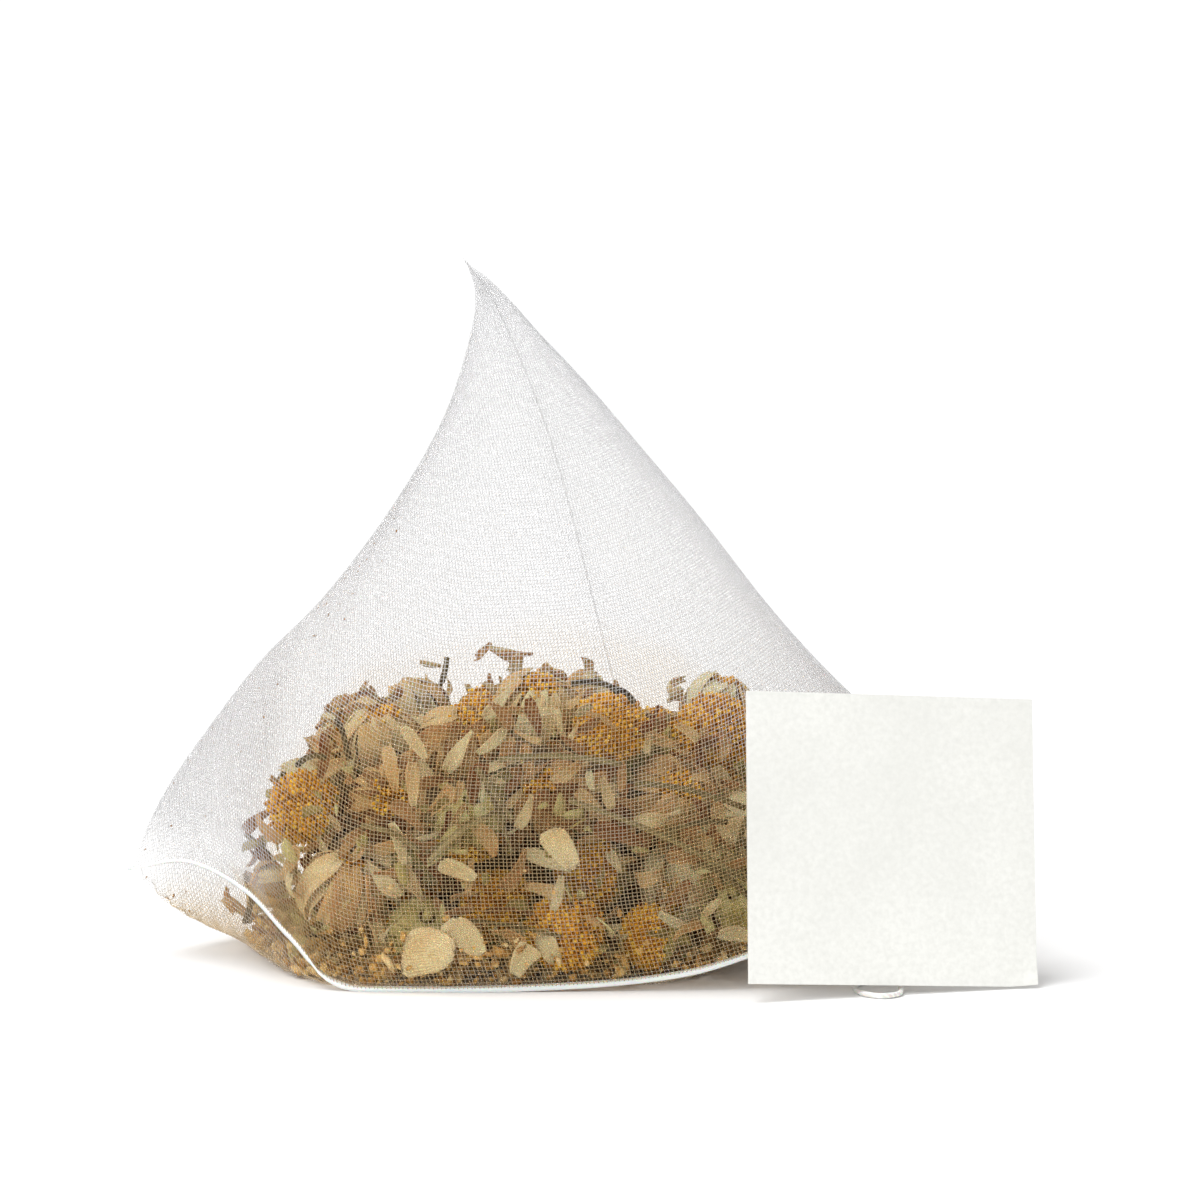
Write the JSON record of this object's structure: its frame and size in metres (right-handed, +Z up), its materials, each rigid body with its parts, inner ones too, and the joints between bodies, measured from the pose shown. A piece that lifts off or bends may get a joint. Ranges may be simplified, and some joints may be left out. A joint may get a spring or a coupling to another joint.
{
  "type": "pyramid tea bag",
  "caption": "Pyramid tea bag of fine woven mesh, filled with whole dried camomile flower heads, standing on its belly with a square card tag leaning on one corner.",
  "frame": {"origin": "middle of the bag and tag's footprint, on the surface the bag rests on", "axes": "+Z up, +X to the tag's side, -Y to the front, towards the seal that lies along the belly"},
  "size_m": [0.069, 0.059, 0.0539],
  "materials": {
    "mesh": "fine translucent white woven mesh of thin plastic thread, welded at its two seals",
    "loose_filling": "dry, matte, ochre and straw crumbs, petals and dust of camomile flowers",
    "floret_heads": "dry, matte, golden orange domes of fine florets",
    "petal_heads": "dry, matte, tan domes wrapped in folded straw and pinkish petals",
    "calyx_heads": "dry, matte, pale green and straw cups of bracts",
    "tag_card": "off-white uncoated card, bare of print",
    "thread": "soft white thread, slightly translucent"
  },
  "bodies": {
    "root": {"mesh_bag": "mesh", "loose_filling": "loose_filling", "floret_head_01": "floret_heads", "floret_head_02": "floret_heads", "floret_head_03": "floret_heads", "floret_head_04": "floret_heads", "floret_head_05": "floret_heads", "petal_head_06": "petal_heads", "calyx_head_07": "calyx_heads", "calyx_head_08": "calyx_heads", "petal_head_09": "petal_heads", "floret_head_10": "floret_heads", "petal_head_11": "petal_heads", "petal_head_12": "petal_heads", "floret_head_13": "floret_heads", "petal_head_14": "petal_heads", "petal_head_15": "petal_heads", "petal_head_16": "petal_heads", "petal_head_17": "petal_heads", "calyx_head_18": "calyx_heads", "petal_head_19": "petal_heads", "petal_head_20": "petal_heads", "petal_head_21": "petal_heads", "calyx_head_22": "calyx_heads", "petal_head_23": "petal_heads", "petal_head_24": "petal_heads", "petal_head_25": "petal_heads", "floret_head_26": "floret_heads", "calyx_head_27": "calyx_heads", "petal_head_28": "petal_heads", "petal_head_29": "petal_heads", "petal_head_30": "petal_heads", "floret_head_31": "floret_heads", "calyx_head_32": "calyx_heads", "petal_head_33": "petal_heads", "petal_head_34": "petal_heads", "petal_head_35": "petal_heads", "floret_head_36": "floret_heads", "calyx_head_37": "calyx_heads", "petal_head_38": "petal_heads", "petal_head_39": "petal_heads", "petal_head_40": "petal_heads", "floret_head_41": "floret_heads", "calyx_head_42": "calyx_heads", "petal_head_43": "petal_heads", "tag": "tag_card", "thread_to_bag": "thread", "thread_coil": "thread", "thread_to_tag": "thread"}
  },
  "joints": []
}
